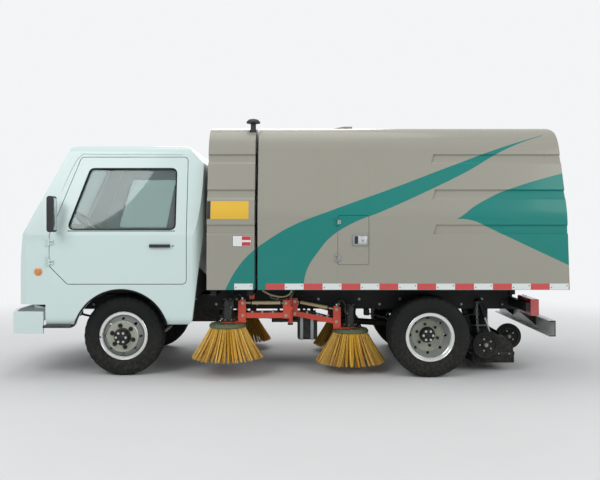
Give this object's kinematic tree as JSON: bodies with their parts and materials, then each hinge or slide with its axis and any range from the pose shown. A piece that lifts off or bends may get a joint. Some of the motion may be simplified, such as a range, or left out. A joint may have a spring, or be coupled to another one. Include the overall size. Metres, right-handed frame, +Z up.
{
  "type": "street sweeper truck",
  "caption": "Small cab-over street sweeper truck with rotary side brushes on red parallelogram arms, a wheeled suction nozzle, and a tipping hopper with a top-hinged tail door.",
  "frame": {"origin": "on the ground under the middle of the overall length and width", "axes": "+X forward, +Y to the truck's left, +Z up"},
  "size_m": [5.06, 2.18, 2.374],
  "materials": {
    "body_paint": "champagne grey paint, slightly metallic",
    "tail_teal": "teal gloss paint",
    "cab_paint": "pale mint gloss paint",
    "chassis_black": "black chassis paint, dusty",
    "arm_red": "red paint, chipped",
    "rim_silver": "silver wheel paint",
    "tyre": "worn rubber",
    "wheel_rubber": "solid rubber",
    "bristle": "golden bristles",
    "glass": "tinted glass",
    "interior": "grained plastic and dark fabric",
    "black_plastic": "moulded plastic",
    "lamp_lens": "red lens",
    "bumper_paint": "pale silver paint",
    "board_grey": "grey housing",
    "steel": "bright steel",
    "cast": "oily casting",
    "silencer_steel": "dull heated steel"
  },
  "bodies": {
    "chassis": {"chassis_frame": "chassis_black", "front_axle": "chassis_black", "rear_axle": "chassis_black", "engine_blocks": "cast", "fuel_tank": "chassis_black", "silencer": "silencer_steel", "air_intakes": "black_plastic", "brush_brackets": "arm_red", "front_module": "body_paint", "suction_nozzle": "chassis_black", "rear_bumper": "bumper_paint", "tail_lamps": "lamp_lens", "front_bumper": "bumper_paint"},
    "cab": {"cab_shell": "cab_paint", "cab_glass": "glass", "cab_interior": "interior", "intake_box": "black_plastic"},
    "cab_door_l": {"cab_door_left": "cab_paint"},
    "cab_door_r": {"cab_door_right": "cab_paint"},
    "knuckle_l": {"steering_knuckle_left": "cast"},
    "knuckle_r": {"steering_knuckle_right": "cast"},
    "steering_link": {"tie_rod": "chassis_black"},
    "wheel_front_l": {"front_tyre_left": "tyre", "front_rim_left": "rim_silver"},
    "wheel_front_r": {"front_tyre_right": "tyre", "front_rim_right": "rim_silver"},
    "wheels_rear_l": {"rear_tyres_left": "tyre", "rear_rims_left": "rim_silver"},
    "wheels_rear_r": {"rear_tyres_right": "tyre", "rear_rims_right": "rim_silver"},
    "hopper": {"hopper_shell": "body_paint", "side_grille": "body_paint", "hopper_bin": "body_paint", "arrow_boards": "board_grey"},
    "hopper_tail_door": {"tail_door": "tail_teal"},
    "tail_barrel": {"tail_cylinder": "chassis_black"},
    "tail_piston_rod": {"tail_rod": "steel"},
    "access_l": {"access_door_left": "body_paint"},
    "access_r": {"access_door_right": "body_paint"},
    "lift_barrel": {"lift_cylinder": "chassis_black"},
    "lift_piston_rod": {"lift_rod": "steel"},
    "nozzle_caster_l": {"nozzle_wheel_left": "wheel_rubber"},
    "nozzle_caster_r": {"nozzle_wheel_right": "wheel_rubber"},
    "nozzle_caster_rear": {"nozzle_wheel_rear": "wheel_rubber"},
    "arm_lower_front_left": {"brush_arm_lower_front_left": "arm_red"},
    "arm_upper_front_left": {"brush_arm_upper_front_left": "arm_red"},
    "arm_head_front_left": {"brush_head_front_left": "arm_red"},
    "rotor_front_left": {"brush_front_left": "bristle"},
    "arm_lower_rear_left": {"brush_arm_lower_rear_left": "arm_red"},
    "arm_upper_rear_left": {"brush_arm_upper_rear_left": "arm_red"},
    "arm_head_rear_left": {"brush_head_rear_left": "arm_red"},
    "rotor_rear_left": {"brush_rear_left": "bristle"},
    "arm_lower_front_right": {"brush_arm_lower_front_right": "arm_red"},
    "arm_upper_front_right": {"brush_arm_upper_front_right": "arm_red"},
    "arm_head_front_right": {"brush_head_front_right": "arm_red"},
    "rotor_front_right": {"brush_front_right": "bristle"},
    "arm_lower_rear_right": {"brush_arm_lower_rear_right": "arm_red"},
    "arm_upper_rear_right": {"brush_arm_upper_rear_right": "arm_red"},
    "arm_head_rear_right": {"brush_head_rear_right": "arm_red"},
    "rotor_rear_right": {"brush_rear_right": "bristle"}
  },
  "joints": [
    {"name": "cab_tilt", "type": "hinge", "parent": "chassis", "child": "cab", "pos_m": [2.4, 0, 0.64], "axis": [0, 1, 0], "range_deg": [0, 45]},
    {"name": "cab_door_l_swing", "type": "hinge", "parent": "cab", "child": "cab_door_l", "pos_m": [2.147, 0.935, 1.14], "axis": [0, 0, -1], "range_deg": [0, 65]},
    {"name": "steer_l", "type": "hinge", "parent": "chassis", "child": "knuckle_l", "pos_m": [1.5, 0.65, 0.365], "axis": [0, 0, 1], "range_deg": [-32, 32]},
    {"name": "wheel_front_l_spin", "type": "hinge", "parent": "knuckle_l", "child": "wheel_front_l", "pos_m": [1.5, 0.75, 0.365], "axis": [0, 1, 0], "continuous": true},
    {"name": "wheels_rear_l_spin", "type": "hinge", "parent": "chassis", "child": "wheels_rear_l", "pos_m": [-1.3, 0.74, 0.365], "axis": [0, 1, 0], "continuous": true},
    {"name": "cab_door_r_swing", "type": "hinge", "parent": "cab", "child": "cab_door_r", "pos_m": [2.147, -0.935, 1.14], "axis": [0, 0, 1], "range_deg": [0, 65]},
    {"name": "steer_r", "type": "hinge", "parent": "chassis", "child": "knuckle_r", "pos_m": [1.5, -0.65, 0.365], "axis": [0, 0, 1], "range_deg": [-32, 32]},
    {"name": "wheel_front_r_spin", "type": "hinge", "parent": "knuckle_r", "child": "wheel_front_r", "pos_m": [1.5, -0.75, 0.365], "axis": [0, 1, 0], "continuous": true},
    {"name": "wheels_rear_r_spin", "type": "hinge", "parent": "chassis", "child": "wheels_rear_r", "pos_m": [-1.3, -0.74, 0.365], "axis": [0, 1, 0], "continuous": true},
    {"name": "steering_link_swing", "type": "hinge", "parent": "knuckle_l", "child": "steering_link", "pos_m": [1.31, 0.65, 0.279], "axis": [0, 0, 1], "range_deg": [-32, 32]},
    {"name": "hopper_tip", "type": "hinge", "parent": "chassis", "child": "hopper", "pos_m": [-2.2, 0, 0.76], "axis": [0, -1, 0], "range_deg": [0, 45]},
    {"name": "lift_barrel_swing", "type": "hinge", "parent": "chassis", "child": "lift_barrel", "pos_m": [-1.5, 0, 0.575], "axis": [0, -1, 0], "range_deg": [0, 59.96]},
    {"name": "lift_rod_slide", "type": "slide", "parent": "lift_barrel", "child": "lift_piston_rod", "axis": [0.9657, 0, 0.2595], "range_m": [0, 0.48317]},
    {"name": "tail_door_swing", "type": "hinge", "parent": "hopper", "child": "hopper_tail_door", "pos_m": [-2.47, 0, 1.705], "axis": [0, 1, 0], "range_deg": [0, 80]},
    {"name": "tail_barrel_swing", "type": "hinge", "parent": "hopper", "child": "tail_barrel", "pos_m": [-2.5, 0, 1.975], "axis": [0, 1, 0], "range_deg": [0, 50.28]},
    {"name": "tail_rod_slide", "type": "slide", "parent": "tail_barrel", "child": "tail_piston_rod", "axis": [0, 0, 1], "range_m": [0, 0.18868]},
    {"name": "access_l_swing", "type": "hinge", "parent": "hopper", "child": "access_l", "pos_m": [-0.46, 1.007, 1.2485], "axis": [0, 0, -1], "range_deg": [0, 110]},
    {"name": "access_r_swing", "type": "hinge", "parent": "hopper", "child": "access_r", "pos_m": [-0.464, -1.007, 1.271], "axis": [0, 0, 1], "range_deg": [0, 110]},
    {"name": "nozzle_caster_l_spin", "type": "hinge", "parent": "chassis", "child": "nozzle_caster_l", "pos_m": [-1.854, 0.7, 0.263], "axis": [0, 1, 0], "continuous": true},
    {"name": "nozzle_caster_rear_spin", "type": "hinge", "parent": "chassis", "child": "nozzle_caster_rear", "pos_m": [-2.269, 0, 0.234], "axis": [0, 1, 0], "continuous": true},
    {"name": "nozzle_caster_r_spin", "type": "hinge", "parent": "chassis", "child": "nozzle_caster_r", "pos_m": [-1.854, -0.7, 0.263], "axis": [0, 1, 0], "continuous": true},
    {"name": "lift_front_left", "type": "hinge", "parent": "chassis", "child": "arm_lower_front_left", "pos_m": [0.01, 0.74, 0.545], "axis": [0, -1, 0], "range_deg": [-20.5, 5]},
    {"name": "lift_upper_front_left", "type": "hinge", "parent": "chassis", "child": "arm_upper_front_left", "pos_m": [0.01, 0.74, 0.66], "axis": [0, -1, 0], "range_deg": [-20.5, 5]},
    {"name": "level_front_left", "type": "hinge", "parent": "arm_lower_front_left", "child": "arm_head_front_left", "pos_m": [0.41, 0.74, 0.545], "axis": [0, 1, 0], "range_deg": [-20.5, 5]},
    {"name": "spin_front_left", "type": "hinge", "parent": "arm_head_front_left", "child": "rotor_front_left", "pos_m": [0.549, 0.76, 0.465], "axis": [0, 0, 1], "continuous": true},
    {"name": "lift_rear_left", "type": "hinge", "parent": "chassis", "child": "arm_lower_rear_left", "pos_m": [-0.07, 0.6, 0.545], "axis": [0, 1, 0], "range_deg": [-9.5, 16]},
    {"name": "lift_upper_rear_left", "type": "hinge", "parent": "chassis", "child": "arm_upper_rear_left", "pos_m": [-0.07, 0.6, 0.66], "axis": [0, 1, 0], "range_deg": [-9.5, 16]},
    {"name": "level_rear_left", "type": "hinge", "parent": "arm_lower_rear_left", "child": "arm_head_rear_left", "pos_m": [-0.46265, 0.6, 0.46868], "axis": [0, -1, 0], "range_deg": [-9.5, 16]},
    {"name": "spin_rear_left", "type": "hinge", "parent": "arm_head_rear_left", "child": "rotor_rear_left", "pos_m": [-0.60165, 0.56, 0.38868], "axis": [0, 0, 1], "continuous": true},
    {"name": "lift_front_right", "type": "hinge", "parent": "chassis", "child": "arm_lower_front_right", "pos_m": [0.01, -0.74, 0.545], "axis": [0, -1, 0], "range_deg": [-8.5, 17]},
    {"name": "lift_upper_front_right", "type": "hinge", "parent": "chassis", "child": "arm_upper_front_right", "pos_m": [0.01, -0.74, 0.66], "axis": [0, -1, 0], "range_deg": [-8.5, 17]},
    {"name": "level_front_right", "type": "hinge", "parent": "arm_lower_front_right", "child": "arm_head_front_right", "pos_m": [0.40126, -0.74, 0.46183], "axis": [0, 1, 0], "range_deg": [-8.5, 17]},
    {"name": "spin_front_right", "type": "hinge", "parent": "arm_head_front_right", "child": "rotor_front_right", "pos_m": [0.54026, -0.76, 0.38183], "axis": [0, 0, 1], "continuous": true},
    {"name": "lift_rear_right", "type": "hinge", "parent": "chassis", "child": "arm_lower_rear_right", "pos_m": [-0.07, -0.6, 0.545], "axis": [0, 1, 0], "range_deg": [-5.5, 20]},
    {"name": "lift_upper_rear_right", "type": "hinge", "parent": "chassis", "child": "arm_upper_rear_right", "pos_m": [-0.07, -0.6, 0.66], "axis": [0, 1, 0], "range_deg": [-5.5, 20]},
    {"name": "level_rear_right", "type": "hinge", "parent": "arm_lower_rear_right", "child": "arm_head_rear_right", "pos_m": [-0.45637, -0.6, 0.44147], "axis": [0, -1, 0], "range_deg": [-5.5, 20]},
    {"name": "spin_rear_right", "type": "hinge", "parent": "arm_head_rear_right", "child": "rotor_rear_right", "pos_m": [-0.59537, -0.56, 0.36147], "axis": [0, 0, 1], "continuous": true}
  ],
  "couplings": [
    {"joint": "steer_r", "follows": "steer_l", "ratio": 1},
    {"joint": "steering_link_swing", "follows": "steer_l", "ratio": -1},
    {"joint": "lift_barrel_swing", "follows": "hopper_tip", "ratio": 1.3324},
    {"joint": "lift_rod_slide", "follows": "hopper_tip", "m_per_rad": 0.6152},
    {"joint": "tail_barrel_swing", "follows": "tail_door_swing", "ratio": 0.62848},
    {"joint": "tail_rod_slide", "follows": "tail_door_swing", "m_per_rad": 0.13513},
    {"joint": "lift_upper_front_left", "follows": "lift_front_left", "ratio": 1},
    {"joint": "level_front_left", "follows": "lift_front_left", "ratio": 1},
    {"joint": "lift_upper_rear_left", "follows": "lift_rear_left", "ratio": 1},
    {"joint": "level_rear_left", "follows": "lift_rear_left", "ratio": 1},
    {"joint": "lift_upper_front_right", "follows": "lift_front_right", "ratio": 1},
    {"joint": "level_front_right", "follows": "lift_front_right", "ratio": 1},
    {"joint": "lift_upper_rear_right", "follows": "lift_rear_right", "ratio": 1},
    {"joint": "level_rear_right", "follows": "lift_rear_right", "ratio": 1}
  ]
}
